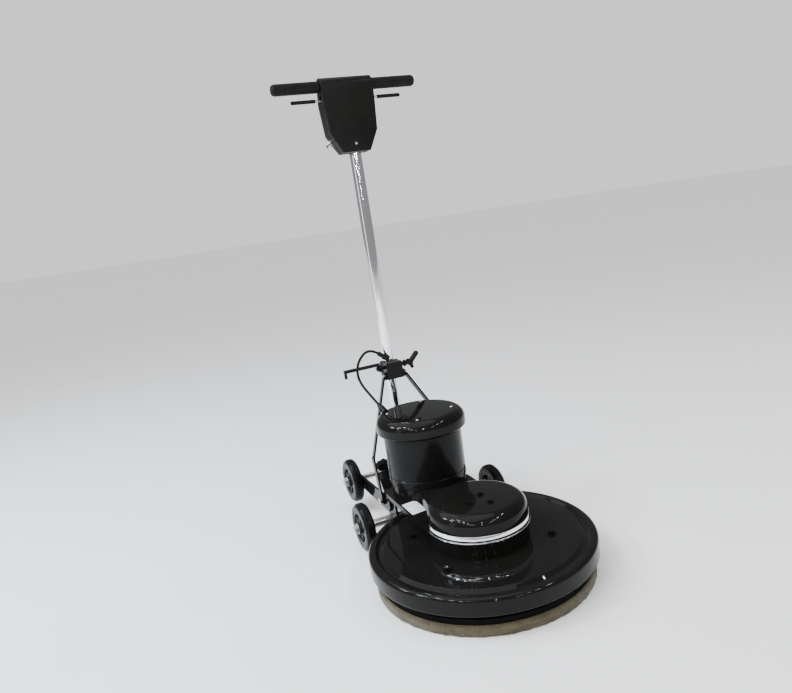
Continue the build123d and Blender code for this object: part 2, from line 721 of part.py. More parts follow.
def brace():
    """Bent flat bar on the +X side, from the frame up to the collar."""
    x, y, z = BRACE_FOOT
    top_y, top_z = handle_point(0, LINK_Y, LINK_Z)[1:]
    half = BRACE_T / 2
    top_x = BRACE_IN_X + BRACE_T
    bar = flat_bar(BRACE_FOOT, BRACE_BEND) + flat_bar(BRACE_BEND, (BRACE_TOP_X, top_y, top_z))
    bend_x, bend_y, bend_z = BRACE_BEND
    bar += rod(BRACE_W / 2, (bend_x - half, bend_y, bend_z), (bend_x + half, bend_y, bend_z))
    bar += rod(12, (x - half, y, z), (x + half, y, z))
    bar += rod(11, (BRACE_IN_X, top_y, top_z), (top_x + 1, top_y, top_z))
    bar -= rod(BOLT_R + FIT, (x - 9, y, z), (x + 9, y, z))
    bar -= rod(LINK_PIN_R, (0, top_y, top_z), (60, top_y, top_z))
    bar -= rod(9, (top_x + 1, top_y, top_z), (60, top_y, top_z))
    return bar - block((0, 300, 300), (BRACE_IN_X, 500, 500))


def brace_pin():
    top_y, top_z = handle_point(0, LINK_Y, LINK_Z)[1:]
    nut_x = BRACE_IN_X + BRACE_T + 1
    pin = rod(LINK_PIN_R, (-nut_x - 6, top_y, top_z), (nut_x + 6, top_y, top_z))
    for side in (-1, 1):
        pin += hexagon(7.5, (side * nut_x, top_y, top_z), (side * (nut_x + 5), top_y, top_z))
    return pin


def motor_lead():
    """Lead of one round section on straight runs joined by the largest tangent arcs that fit."""
    tube_end = [handle_point(*tube_gland_point(reach)) for reach in (TUBE_GLAND_LENGTH, 48)]
    cap_end = [cap_gland_point(reach) for reach in (52, CAP_GLAND_LENGTH)]
    points = [Vector(*p) for p in tube_end + LEAD_MIDDLE] + cap_end
    radii = []
    for before, corner, after in zip(points, points[1:], points[2:]):
        turn = math.radians((corner - before).get_angle(after - corner))
        shorter = min((corner - before).length, (after - corner).length)
        radii.append(0.45 * shorter / math.tan(turn / 2))
    path = FilletPolyline(*points, radius=radii)
    section = Plane(origin=path @ 0, z_dir=path % 0) * Circle(LEAD_D / 2)
    lead = sweep(section, path)
    print("lead points", [tuple(round(v, 2) for v in p) for p in points])
    print("lead length", round(path.length, 1), "radii", [round(r, 1) for r in radii])
    print("lead volume", round(lead.volume), "section x length", round(path.length * math.pi * LEAD_D**2 / 4))
    return lead


def all_pieces():
    pieces = {
        "deck_shroud": deck_shroud(),
        "spindle_housing": spindle_housing(),
        "spindle_bearings": spindle_bearings(),
        "spindle_shaft": spindle_shaft(),
        "driven_pulley": driven_pulley(),
        "pad_driver": pad_driver(),
        "polishing_pad": polishing_pad(),
        "centre_lock": centre_lock(),
        "deck_bolts": deck_bolts(),
        "frame_plate": frame_plate(),
        "rear_arms": rear_arms(),
        "front_axle": front_axle(),
        "rear_axle": rear_axle(),
        "hub_nuts": hub_nuts(),
        "pivot_pin": pivot_pin(),
        "brace_bolts": brace_bolts(),
        "drive_belt": drive_belt(),
        "drive_pulley": drive_pulley(),
        "belt_cover": belt_cover(),
        "cover_band": cover_band(),
        "cover_screws": cover_screws(),
        "belt_guard": belt_guard(),
        "motor_base": motor_base(),
        "motor_housing": motor_housing(),
        "motor_end_bell": motor_end_bell(),
        "motor_cap": motor_cap(),
        "motor_cord_gland": motor_cord_gland(),
        "motor_stator": motor_stator(),
        "motor_bearings": motor_bearings(),
        "rotor_shaft": rotor_shaft(),
        "rotor_core": rotor_core(),
        "cooling_fan": cooling_fan(),
        "handle_foot": handle_foot(),
        "handle_tube": handle_tube(),
        "grip_bar": grip_bar(),
        "grip_left": grip(-1),
        "grip_right": grip(1),
        "housing_front": housing_front(),
        "housing_rear": housing_rear(),
        "supply_gland": supply_gland(),
        "switch_box": switch_box(),
        "lock_button": lock_button(),
        "lever_rod": lever_rod(),
        "lever_sleeves": lever_sleeves(),
        "tube_gland": tube_gland(),
        "collar": collar(),
        "cam_lever": cam_lever(),
        "cord_hook": cord_hook(),
        "brace_right": brace(),
        "brace_left": mirror(brace(), Plane.YZ),
        "brace_pin": brace_pin(),
        "motor_lead": motor_lead(),
    }
    places = {
        "front_left": (FRONT_WHEEL, -1),
        "front_right": (FRONT_WHEEL, 1),
        "rear_left": (REAR_WHEEL, -1),
        "rear_right": (REAR_WHEEL, 1),
    }
    for name, (wheel, side) in places.items():
        pieces[name + "_tyre"] = on_axle(wheel_tyre(), wheel, side)
        pieces[name + "_rim"] = on_axle(wheel_rim(), wheel, side)
    return pieces


os.makedirs("parts", exist_ok=True)
for node, piece in all_pieces().items():
    export_step(piece, f"parts/{node}.step")
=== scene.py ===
import json
import math
import random

import bmesh
import bpy
from mathutils import Matrix, Vector, noise


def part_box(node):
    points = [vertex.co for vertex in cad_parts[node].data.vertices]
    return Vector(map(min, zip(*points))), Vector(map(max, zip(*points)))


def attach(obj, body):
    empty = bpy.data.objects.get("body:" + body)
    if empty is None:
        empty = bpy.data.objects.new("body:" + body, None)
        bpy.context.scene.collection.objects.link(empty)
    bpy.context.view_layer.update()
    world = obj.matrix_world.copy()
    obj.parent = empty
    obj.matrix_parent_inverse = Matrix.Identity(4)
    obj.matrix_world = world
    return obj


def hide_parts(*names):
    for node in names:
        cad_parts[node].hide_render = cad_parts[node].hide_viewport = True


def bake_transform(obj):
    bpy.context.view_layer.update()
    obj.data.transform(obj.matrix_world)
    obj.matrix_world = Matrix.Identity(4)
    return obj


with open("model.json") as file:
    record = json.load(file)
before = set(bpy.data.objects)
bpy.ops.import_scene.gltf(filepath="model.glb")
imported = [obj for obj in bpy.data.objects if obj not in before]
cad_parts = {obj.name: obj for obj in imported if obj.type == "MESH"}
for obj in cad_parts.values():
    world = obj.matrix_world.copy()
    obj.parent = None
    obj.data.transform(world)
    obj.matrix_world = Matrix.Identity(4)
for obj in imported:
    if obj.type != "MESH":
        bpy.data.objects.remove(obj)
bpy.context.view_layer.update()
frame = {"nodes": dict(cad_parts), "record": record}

# Handle, motor and pad: the handle's own frame is in millimetres, the rest in metres
MM = 0.001
LEAN = math.radians(1.85)
PIVOT = Vector((0.0, 0.437, 0.155))
MOTOR_Y = 0.271
HAIRS = 7000
BAND_SPAN = (-189.5, 9.5)
CAP_SCREW_R = 0.085
CAP_SCREW_TURNS = (-27, 63, 153, 243)
BAR_Z = 1047

# Route of the motor lead, the same points as in the CAD, in metres
LEAD_D = 0.0075
LEAD_ROUTE = [
    (-0.0319, 0.4356, 0.47766),
    (-0.04257, 0.43923, 0.48597),
    (-0.0609, 0.447, 0.4876),
    (-0.0714, 0.457, 0.4769),
    (-0.082, 0.465, 0.4609),
    (-0.0886, 0.47, 0.4397),
    (-0.0899, 0.47, 0.4165),
    (-0.0872, 0.455, 0.3951),
    (-0.0833, 0.425, 0.3794),
    (-0.0788, 0.39123, 0.36344),
    (-0.0746, 0.36688, 0.35028),
]


# Camera

def place_camera():
    """Camera at the reference view: position in metres, yaw, pitch and roll in radians."""
    position = Vector((-0.6471, -1.3479, 0.8503))
    yaw, pitch, roll = 0.36, 0.189, -0.146
    forward = Vector((math.sin(yaw) * math.cos(pitch), math.cos(yaw) * math.cos(pitch), -math.sin(pitch)))
    level = Vector((math.cos(yaw), -math.sin(yaw), 0))
    upright = level.cross(forward)
    right = level * math.cos(roll) + upright * math.sin(roll)
    up = upright * math.cos(roll) - level * math.sin(roll)
    camera = bpy.data.objects.new("camera", bpy.data.cameras.new("camera"))
    camera.data.lens = 31.25
    camera.data.sensor_width = 36.0
    camera.data.clip_start = 0.01
    turn = Matrix((right, up, -forward)).transposed().to_4x4()
    camera.matrix_world = Matrix.Translation(position) @ turn
    bpy.context.scene.collection.objects.link(camera)
    bpy.context.scene.camera = camera


# Materials

class Shader:
    """A node material with short calls for the textures that every finish here is built from."""

    def __init__(self, name):
        self.material = bpy.data.materials.new(name)
        self.material.use_nodes = True
        self.tree = self.material.node_tree
        self.shader = self.tree.nodes["Principled BSDF"]
        self.coord = self.tree.nodes.new("ShaderNodeTexCoord").outputs["Object"]

    def set(self, **values):
        for key, value in values.items():
            self.shader.inputs[key.replace("_", " ")].default_value = value

    def stretched(self, scale):
        node = self.tree.nodes.new("ShaderNodeMapping")
        node.inputs["Scale"].default_value = scale
        self.tree.links.new(self.coord, node.inputs["Vector"])
        return node.outputs["Vector"]

    def noise(self, scale, detail=3.0, rough=0.5, vector=None):
        node = self.tree.nodes.new("ShaderNodeTexNoise")
        node.inputs["Scale"].default_value = scale
        node.inputs["Detail"].default_value = detail
        node.inputs["Roughness"].default_value = rough
        self.tree.links.new(vector or self.coord, node.inputs["Vector"])
        return node.outputs["Fac"]

    def voronoi(self, scale, vector=None):
        node = self.tree.nodes.new("ShaderNodeTexVoronoi")
        node.inputs["Scale"].default_value = scale
        self.tree.links.new(vector or self.coord, node.inputs["Vector"])
        return node.outputs["Distance"]

    def ramp(self, value, stops):
        node = self.tree.nodes.new("ShaderNodeValToRGB")
        ramp = node.color_ramp
        while len(ramp.elements) < len(stops):
            ramp.elements.new(0.5)
        for element, (position, colour) in zip(ramp.elements, stops):
            element.position = position
            element.color = (*colour, 1)
        self.tree.links.new(value, node.inputs["Fac"])
        return node.outputs["Color"]

    def span(self, value, low, high, start=0.3, end=0.7):
        node = self.tree.nodes.new("ShaderNodeMapRange")
        node.inputs["From Min"].default_value = start
        node.inputs["From Max"].default_value = end
        node.inputs["To Min"].default_value = low
        node.inputs["To Max"].default_value = high
        self.tree.links.new(value, node.inputs["Value"])
        return node.outputs["Result"]

    def colour(self, value):
        self.tree.links.new(value, self.shader.inputs["Base Color"])

    def roughness(self, value):
        self.tree.links.new(value, self.shader.inputs["Roughness"])

    def bump(self, *layers):
        """Stack bumps: each layer is (height, strength, depth in metres)."""
        normal = None
        for height, strength, depth in layers:
            node = self.tree.nodes.new("ShaderNodeBump")
            node.inputs["Strength"].default_value = strength
            node.inputs["Distance"].default_value = depth
            self.tree.links.new(height, node.inputs["Height"])
            if normal is not None:
                self.tree.links.new(normal, node.inputs["Normal"])
            normal = node.outputs["Normal"]
        self.tree.links.new(normal, self.shader.inputs["Normal"])


def shades(low, high):
    return [(0.3, low), (0.7, high)]


def gloss_paint(name, low, high, rough=(0.01, 0.03), peel=0.012):
    s = Shader(name)
    s.colour(s.ramp(s.noise(9, 4), shades(low, high)))
    s.roughness(s.span(s.noise(35, 5, 0.6), *rough))
    s.set(Coat_Weight=0.02, Coat_Roughness=0.03, Specular_IOR_Level=0.1)
    s.bump((s.noise(420, 2), peel, 0.0004), (s.noise(2200, 1), peel * 0.5, 0.0001))
    return s.material


def moulded_plastic(name, low, high, rough=(0.38, 0.5), grain=0.35):
    s = Shader(name)
    s.colour(s.ramp(s.noise(14, 4), shades(low, high)))
    s.roughness(s.span(s.noise(60, 4), *rough))
    s.set(Specular_IOR_Level=0.12)
    s.bump((s.noise(1500, 3, 0.6), grain, 0.00015), (s.voronoi(2600), grain * 0.5, 0.0001))
    return s.material


def chrome_plate(name):
    s = Shader(name)
    s.colour(s.ramp(s.noise(7, 3), shades((0.80, 0.81, 0.84), (0.88, 0.885, 0.90))))
    s.set(Metallic=1.0)
    s.roughness(s.span(s.noise(45, 5, 0.65, s.stretched((1, 1, 0.12))), 0.04, 0.13))
    s.bump((s.noise(900, 2, 0.5, s.stretched((1, 1, 0.05))), 0.04, 0.0001))
    return s.material


def zinc_steel(name):
    s = Shader(name)
    s.colour(s.ramp(s.noise(120, 5, 0.65), shades((0.36, 0.36, 0.36), (0.6, 0.6, 0.585))))
    s.set(Metallic=1.0)
    s.roughness(s.span(s.noise(260, 4), 0.22, 0.42))
    s.bump((s.noise(1400, 3), 0.2, 0.0001))
    return s.material


def cast_aluminium(name):
    s = Shader(name)
    s.colour(s.ramp(s.noise(50, 5), shades((0.42, 0.43, 0.44), (0.6, 0.6, 0.61))))
    s.set(Metallic=1.0)
    s.roughness(s.span(s.noise(200, 5), 0.35, 0.55))
    s.bump((s.noise(700, 5, 0.7), 0.3, 0.0003))
    return s.material


def rubber(name, low, high, rough=(0.45, 0.6), spec=0.11):
    s = Shader(name)
    s.colour(s.ramp(s.noise(40, 5, 0.6), shades(low, high)))
    s.roughness(s.span(s.noise(90, 4), *rough))
    s.set(Specular_IOR_Level=spec)
    s.bump((s.noise(900, 4, 0.6), 0.4, 0.0003), (s.voronoi(1800), 0.25, 0.0002))
    return s.material


def hair_pad(name):
    s = Shader(name)
    strands = s.noise(260, 6, 0.75, s.stretched((1, 1, 4)))
    mottle = s.noise(24, 5, 0.6)
    mix = s.tree.nodes.new("ShaderNodeMix")
    mix.data_type = "RGBA"
    mix.blend_type = "OVERLAY"
    mix.inputs["Factor"].default_value = 0.7
    browns = [(0.25, (0.058, 0.047, 0.028)), (0.5, (0.09, 0.075, 0.045)), (0.75, (0.135, 0.115, 0.072))]
    base = s.ramp(mottle, browns)
    fine = s.ramp(strands, [(0.3, (0.16, 0.14, 0.11)), (0.55, (0.5, 0.5, 0.5)), (0.75, (0.86, 0.84, 0.78))])
    s.tree.links.new(base, mix.inputs["A"])
    s.tree.links.new(fine, mix.inputs["B"])
    s.colour(mix.outputs["Result"])
    s.set(Roughness=0.92, Specular_IOR_Level=0.15, Sheen_Weight=0.25)
    s.bump((s.noise(180, 5, 0.7), 0.8, 0.0012), (strands, 0.9, 0.0008))
    return s.material


def blank_label(name):
    s = Shader(name)
    s.colour(s.ramp(s.noise(60, 4), shades((0.74, 0.74, 0.73), (0.82, 0.82, 0.81))))
    s.roughness(s.span(s.noise(150, 3), 0.3, 0.45))
    s.bump((s.noise(500, 3), 0.08, 0.0001))
    return s.material


MATERIALS = {
    "gloss": gloss_paint("gloss_black_paint", (0.0052, 0.0050, 0.0045), (0.0078, 0.0075, 0.0068)),
    "semi": gloss_paint(
        "semi_gloss_black_paint", (0.0042, 0.0042, 0.0046), (0.0066, 0.0066, 0.007), (0.12, 0.24), 0.08
    ),
    "satin": moulded_plastic("satin_black_moulding", (0.004, 0.004, 0.0034), (0.006, 0.006, 0.0051)),
    "plastic": moulded_plastic(
        "black_moulding", (0.006, 0.006, 0.006), (0.009, 0.009, 0.009), (0.3, 0.45), 0.25
    ),
    "grey": moulded_plastic(
        "dark_grey_moulding", (0.02, 0.02, 0.02), (0.036, 0.036, 0.035), (0.2, 0.35), 0.2
    ),
    "chrome": chrome_plate("chrome_plate"),
    "zinc": zinc_steel("zinc_plated_steel"),
    "aluminium": cast_aluminium("cast_aluminium"),
    "rubber": rubber("black_rubber", (0.0042, 0.0042, 0.0039), (0.0072, 0.0072, 0.0066)),
    "tyre": rubber(
        "tyre_rubber", (0.0025, 0.0025, 0.0025), (0.0055, 0.0055, 0.005), (0.2, 0.36), 0.11
    ),
    # Painted shade: a darker, duller black than the real part has, so the gap under the deck skirt reads as
    # black shade
    "shade": rubber("painted_gap_shade_black", (0.003, 0.003, 0.003), (0.005, 0.005, 0.005), (0.7, 0.85), 0.04),
    "pad": hair_pad("natural_hair_pad"),
    "label": blank_label("blank_label"),
}

FINISH = {
    "black_gloss": "gloss",
    "black_paint": "semi",
    "black_satin": "satin",
    "chrome": "chrome",
    "zinc_steel": "zinc",
    "aluminium": "aluminium",
    "laminated_steel": "zinc",
    "black_plastic": "plastic",
    "rubber": "rubber",
    "pad_fibre": "pad",
    "tyre": "tyre",
    "wheel_grey": "grey",
}


def finish_cad_nodes():
    """Give every CAD node the finish of its slot in the record."""
    for part in frame["record"]["subparts"]:
        node = frame["nodes"][part["node"]]
        node.data.materials.clear()
        node.data.materials.append(MATERIALS[FINISH[part["material_slot"]]])
    # The pad driver gets the painted-shade black, so the gap between the skirt and the pad shows dark
    frame["nodes"]["pad_driver"].data.materials[0] = MATERIALS["shade"]
    frame["nodes"]["pivot_pin"].data.materials[0] = MATERIALS["semi"]


# Mesh helpers

def make_piece(name, mesh, body, finish, sharp_deg=35):
    """Link a mesh as one piece that rides on a body."""
    mesh.shade_smooth()
    mesh.set_sharp_from_angle(angle=math.radians(sharp_deg))
    mesh.materials.append(MATERIALS[finish])
    piece = bpy.data.objects.new(name, mesh)
    bpy.context.scene.collection.objects.link(piece)
    if body is not None:
        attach(piece, body)
    return piece


def rounded(points, steps=7):
    """Profile from (radius, height, corner radius) points, with each corner rounded."""
    profile = []
    for i, (r, z, corner) in enumerate(points):
        here = Vector((r, z))
        if corner == 0:
            profile.append(here)
            continue
        before = (Vector(points[i - 1][:2]) - here).normalized()
        after = (Vector(points[(i + 1) % len(points)][:2]) - here).normalized()
        half = before.angle(after) / 2
        reach = corner / math.tan(half)
        centre = here + (before + after).normalized() * (corner / math.sin(half))
        first = here + before * reach - centre
        last = here + after * reach - centre
        swing = first.angle_signed(last)
        for k in range(steps + 1):
            profile.append(centre + Matrix.Rotation(-swing * k / steps, 2) @ first)
    return [(p[0], p[1]) for p in profile]


def lathe(profile, centre=(0.0, 0.0), segments=192, span=(0.0, 360.0)):
    """Closed profile in millimetres turned about a vertical axis; centre in metres, span in degrees."""
    full = abs(span[1] - span[0] - 360) < 1e-6
    count = segments if full else segments + 1
    bm = bmesh.new()
    rings = []
    for k in range(count):
        a = math.radians(span[0] + (span[1] - span[0]) * k / segments)
        place = Vector((*centre, 0))
        out = Vector((math.cos(a), math.sin(a), 0))
        rings.append([bm.verts.new(place + out * r * MM + Vector((0, 0, z * MM))) for r, z in profile])
    for k in range(segments):
        ring, following = rings[k], rings[(k + 1) % count]
        for i in range(len(profile)):
            j = (i + 1) % len(profile)
            bm.faces.new((ring[i], following[i], following[j], ring[j]))
    if not full:
        bm.faces.new(rings[0])
        bm.faces.new(list(reversed(rings[-1])))
    bmesh.ops.remove_doubles(bm, verts=bm.verts, dist=1e-7)
    bmesh.ops.recalc_face_normals(bm, faces=bm.faces)
    mesh = bpy.data.meshes.new("lathe")
    bm.to_mesh(mesh)
    bm.free()
    return mesh


def axis_frame(origin, direction):
    """Matrix that sets a lathe's own axis along a direction at a point."""
    return Matrix.Translation(Vector(origin)) @ Vector(direction).to_track_quat("Z", "Y").to_matrix().to_4x4()


def extruded(points, plane, low, high):
    """Prism of an outline in millimetres: plane XZ along Y, YZ along X or XY along Z."""
    def place(a, b, c):
        return {"XZ": (a, c, b), "YZ": (c, a, b), "XY": (a, b, c)}[plane]

    bm = bmesh.new()
    ends = [[bm.verts.new(Vector(place(a, b, c)) * MM) for a, b in points] for c in (low, high)]
    bm.faces.new(ends[0])
    bm.faces.new(ends[1])
    for i in range(len(points)):
        j = (i + 1) % len(points)
        bm.faces.new((ends[0][i], ends[0][j], ends[1][j], ends[1][i]))
    bmesh.ops.recalc_face_normals(bm, faces=bm.faces)
    mesh = bpy.data.meshes.new("prism")
    bm.to_mesh(mesh)
    bm.free()
    return mesh


def combined(first, *others):
    """Boolean a list of (mesh, operation) into a mesh, in order."""
    base = bpy.data.objects.new("base", first)
    bpy.context.scene.collection.objects.link(base)
    tools = []
    for mesh, operation in others:
        tool = bpy.data.objects.new("tool", mesh)
        bpy.context.scene.collection.objects.link(tool)
        modifier = base.modifiers.new("cut", "BOOLEAN")
        modifier.object = tool
        modifier.operation = operation
        modifier.solver = "EXACT"
        tools.append(tool)
    result = applied(base)
    for tool in tools:
        bpy.data.objects.remove(tool)
    return result


def applied(piece):
    """The piece's mesh with its modifiers applied; the piece itself is removed."""
    bpy.context.view_layer.update()
    depsgraph = bpy.context.evaluated_depsgraph_get()
    mesh = bpy.data.meshes.new_from_object(piece.evaluated_get(depsgraph))
    bpy.data.objects.remove(piece)
    return mesh


def bevelled(mesh, width_mm, segments=3, angle_deg=35):
    base = bpy.data.objects.new("base", mesh)
    bpy.context.scene.collection.objects.link(base)
    modifier = base.modifiers.new("bevel", "BEVEL")
    modifier.width = width_mm * MM
    modifier.segments = segments
    modifier.limit_method = "ANGLE"
    modifier.angle_limit = math.radians(angle_deg)
    modifier.use_clamp_overlap = True
    return applied(base)


def on_handle(mesh):
    """Move a mesh from the handle's own frame, origin at the pivot, into the machine."""
    mesh.transform(Matrix.Translation(PIVOT) @ Matrix.Rotation(-LEAN, 4, "X"))
    return mesh


# Deck, pad and covers

def build_deck():
    low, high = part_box("deck_shroud")
    edge, skirt = high.x / MM, low.z / MM
    rim, top, groove = 91, 92, 86.2
    outside = [
        (edge - 4, skirt, 0),
        (edge - 1, skirt, 0.9),
        (edge, skirt + 2, 1.5),
        (edge, rim, 9),
        (248, rim, 6),
        (241.5, groove, 2.5),
        (237.5, groove, 2.5),
        (229, top, 8),
        (41, top, 0),
    ]
    inside = [(41, top - 3, 0), (227.5, top - 3, 4), (236, groove - 3, 2), (243, groove - 3, 2)]
    inside += [(249.5, rim - 3, 3), (edge - 4, rim - 3, 5)]
    mesh = lathe(rounded(outside + inside), segments=288)
    deck = make_piece("deck", mesh, "chassis", "gloss")
    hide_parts("deck_shroud")


def build_pad():
    """Pad of matted hair: a lathe with an uneven side, and loose hairs lying along it."""
    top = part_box("polishing_pad")[1]
    radius, height = top.x / MM - 1.0, top.z / MM
    profile = [(43, 0.2), (radius - 3, 0.2)]
    for k in range(1, 10):
        profile.append((radius - 3 * (1 - math.sin(math.pi * k / 10)) ** 3, 0.2 + height * k / 10 * 0.99))
    profile += [(radius - 3, height - 0.05), (43, height - 0.05)]
    mesh = lathe(profile, segments=720)
    for vertex in mesh.vertices:
        r = math.hypot(vertex.co.x, vertex.co.y)
        if r > 0.25:
            bump = noise.fractal(vertex.co * 160, 1.0, 2.0, 4) * 0.0007
            vertex.co.x *= 1 + bump / r
            vertex.co.y *= 1 + bump / r
    pad = make_piece("hair_pad", mesh, "pad_spindle", "pad", 80)
    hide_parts("polishing_pad")
    chance = random.Random(4)
    bm = bmesh.new()
    for _ in range(HAIRS):
        angle = chance.uniform(0, 2 * math.pi)
        z = chance.uniform(0.001, 0.024)
        length = chance.uniform(0.004, 0.014)
        rise = chance.uniform(-0.5, 0.5)
        lift = chance.uniform(0.0, 0.0009)
        wide = chance.uniform(0.00012, 0.00028)
        strip = []
        for k in range(4):
            t = k / 3
            a = angle + t * length / 0.255
            r = 0.2546 + lift * math.sin(math.pi * t) + chance.uniform(0, 0.0002)
            h = min(max(z + rise * length * t * (1.4 - t), 0.0004), 0.0246)
            strip.append([bm.verts.new((r * math.cos(a), r * math.sin(a), h + s * wide)) for s in (-1, 1)])
        for one, two in zip(strip, strip[1:]):
            bm.faces.new((one[0], two[0], two[1], one[1]))
    hairs = bpy.data.meshes.new("pad_hairs")
    bm.to_mesh(hairs)
    bm.free()
    make_piece("pad_hairs", hairs, "pad_spindle", "pad", 80)


def build_covers():
    bottom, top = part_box("belt_cover")
    low, r, z = bottom.z / MM, top.x / MM, top.z / MM
    dome = [(0, z, 0), (r - 1.5, z, 26), (r, low + 6, 2), (r, low, 0)]
    dome += [(r - 2.5, low, 0), (r - 4, z - 2.5, 23), (0, z - 2.5, 0)]
    mesh = lathe(rounded(dome, 10), segments=224)
    piece = make_piece("cover_dome", mesh, "chassis", "gloss")
    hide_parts("belt_cover")
    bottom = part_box("spindle_housing")[0].z / MM
    drum = [(40, bottom, 0), (115, bottom, 0.6), (115, 115, 0), (108, 115, 0), (108, 98, 0), (40, 98, 0)]
    mesh = lathe(rounded(drum), segments=224)
    piece = make_piece("spindle_drum", mesh, "chassis", "gloss")
    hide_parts("spindle_housing")
    bottom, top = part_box("cover_band")
    band_low, band_high, outer = bottom.z / MM, top.z / MM, top.x / MM
    band = [
        (r + 0.1, band_low, 0),
        (outer - 0.7, band_low, 0.5),
        (outer - 0.3, band_low + 1.6, 0.8),
        (outer, band_low + 3.4, 0.5),
        (outer - 1.9, band_low + 4.0, 0.4),
        (outer - 1.9, band_low + 4.8, 0.4),
        (outer - 0.2, band_low + 5.4, 0.5),
        (outer, band_low + 10.5, 14),
        (outer - 1.7, band_high - 0.4, 0.5),
        (r + 0.1, band_high, 0),
    ]
    mesh = lathe(rounded(band), segments=160, span=BAND_SPAN)
    piece = make_piece("bright_band", mesh, "chassis", "chrome")
    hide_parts("cover_band")


def build_motor():
    centre = (0.0, MOTOR_Y)
    low, high = (c.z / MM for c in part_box("motor_housing"))
    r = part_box("motor_housing")[1].x / MM
    can = [
        (r - 5, low, 0),
        (r, low, 0.8),
        (r, low + 14, 0.6),
        (r - 0.9, low + 15, 0.4),
        (r - 0.9, low + 16.5, 0.4),
        (r, low + 17.5, 0.6),
        (r, high, 0),
        (r - 5, high, 0),
    ]
    piece = make_piece("motor_can", lathe(rounded(can), centre, 224), "chassis", "semi")
    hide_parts("motor_housing")
    low, high = (c.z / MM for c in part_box("motor_cap"))
    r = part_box("motor_cap")[1].x / MM
    cap = [(0, high, 0), (r, high, 26), (r, low, 6), (r - 5, low, 1), (r - 5, high - 3, 22), (0, high - 3, 0)]
    piece = make_piece("motor_hood", lathe(rounded(cap, 12), centre, 224), "chassis", "gloss")
    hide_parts("motor_cap")
    low, high = (c.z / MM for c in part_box("motor_base"))
    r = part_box("motor_base")[1].x / MM
    base = [(0, low, 0), (r, low, 0), (r, high - 6, 1)]
    base += [(r + 2.2, high - 4, 1), (r + 2.2, high, 0.5), (0, high, 0)]
    piece = make_piece("motor_plinth", lathe(rounded(base), centre, 224), "chassis", "gloss")
    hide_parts("motor_base")
    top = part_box("motor_cap")[1].z / MM
    head = [(0, top - 0.5, 0), (4.6, top - 0.5, 0), (4.4, top + 1.0, 0.6), (2.4, top + 1.9, 0.8)]
    head += [(1.6, top + 1.5, 0), (1.2, top + 0.8, 0), (0, top + 0.8, 0)]
    for turn in CAP_SCREW_TURNS:
        a = math.radians(turn)
        spot = (CAP_SCREW_R * math.cos(a), MOTOR_Y + CAP_SCREW_R * math.sin(a))
        make_piece(f"cap_screw_{turn}", lathe(rounded(head, 4), spot, 32), "chassis", "zinc")


def build_labels():
    """Two blank plates lying on the frame plate."""
    z, thick = 127.0, 0.5
    for side, name in ((-1, "left"), (1, "right")):
        outline = [(side * 70, 138), (side * 110, 134), (side * 110, 205), (side * 70, 209)]
        mesh = bevelled(extruded(outline, "XY", z, z + thick), 0.15, 1)
        make_piece(f"blank_label_{name}", mesh, "chassis", "label")


# Wheels

def build_wheels():
    places = {"front_left": -1, "front_right": 1, "rear_left": -1, "rear_right": 1}
    for name, side in places.items():
        low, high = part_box(name + "_tyre")
        middle = (low + high) / 2
        r = (high.z - low.z) / 2 / MM
        half = (high.x - low.x) / 2 / MM
        points = [(44, -half, 0), (r - 6, -half, 4), (r - 1, -half + 6, 3)]
        for groove in (-5.5, 0.0, 5.5):
            points += [(r, groove - 1.6, 0.5), (r - 1.8, groove - 0.8, 0.3), (r - 1.8, groove + 0.8, 0.3)]
            points += [(r, groove + 1.6, 0.5)]
        points += [(r - 1, half - 6, 3), (r - 6, half, 4), (44, half, 0)]
        mesh = lathe(rounded(points, 4), segments=144)
        mesh.transform(axis_frame(middle, (side, 0, 0)))
        piece = make_piece(name + "_tread", mesh, "wheel_" + name, "tyre")
        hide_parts(name + "_tyre")


# Handle

def handle_lathe(profile, origin, direction, segments=64):
    """Lathe in the handle's own frame; origin in millimetres."""
    mesh = lathe(profile, segments=segments)
    mesh.transform(axis_frame(Vector(origin) * MM, direction))
    return on_handle(mesh)


def build_tube():
    tube = rounded([(13.9, 20, 0), (15.9, 20, 0.5), (15.9, 1000, 0.5), (13.9, 1000, 0)], 3)
    mesh = handle_lathe(tube, (0, 0, 0), (0, 0, 1), 96)
    piece = make_piece("chrome_tube", mesh, "handle", "chrome")
    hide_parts("handle_tube")
    strap = bevelled(extruded([(-14, 950), (14, 950), (14, 1055), (-14, 1055)], "XZ", -15.5, -11.2), 1)
    make_piece("bar_strap", on_handle(strap), "handle", "chrome")


def build_grips():
    length = 127.5
    sleeve = [(11, 0, 0), (14.2, 0, 1), (15.2, 2, 0.8), (15.2, 7, 0.8), (14.6, 8, 0.3), (14.6, 9, 0.3)]
    sleeve += [(15.1, 10, 0.5), (15.0, length - 7, 5), (11.5, length, 4)]
    sleeve += [(0, length, 0), (0, length - 2, 0), (11, length - 4, 0)]
    for side, name in ((-1, "left"), (1, "right")):
        mesh = handle_lathe(rounded(sleeve, 6), (side * 72.5, 0, BAR_Z), (side, 0, 0), 72)
        piece = make_piece("sleeve_" + name, mesh, "handle", "rubber")
        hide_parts("grip_" + name)


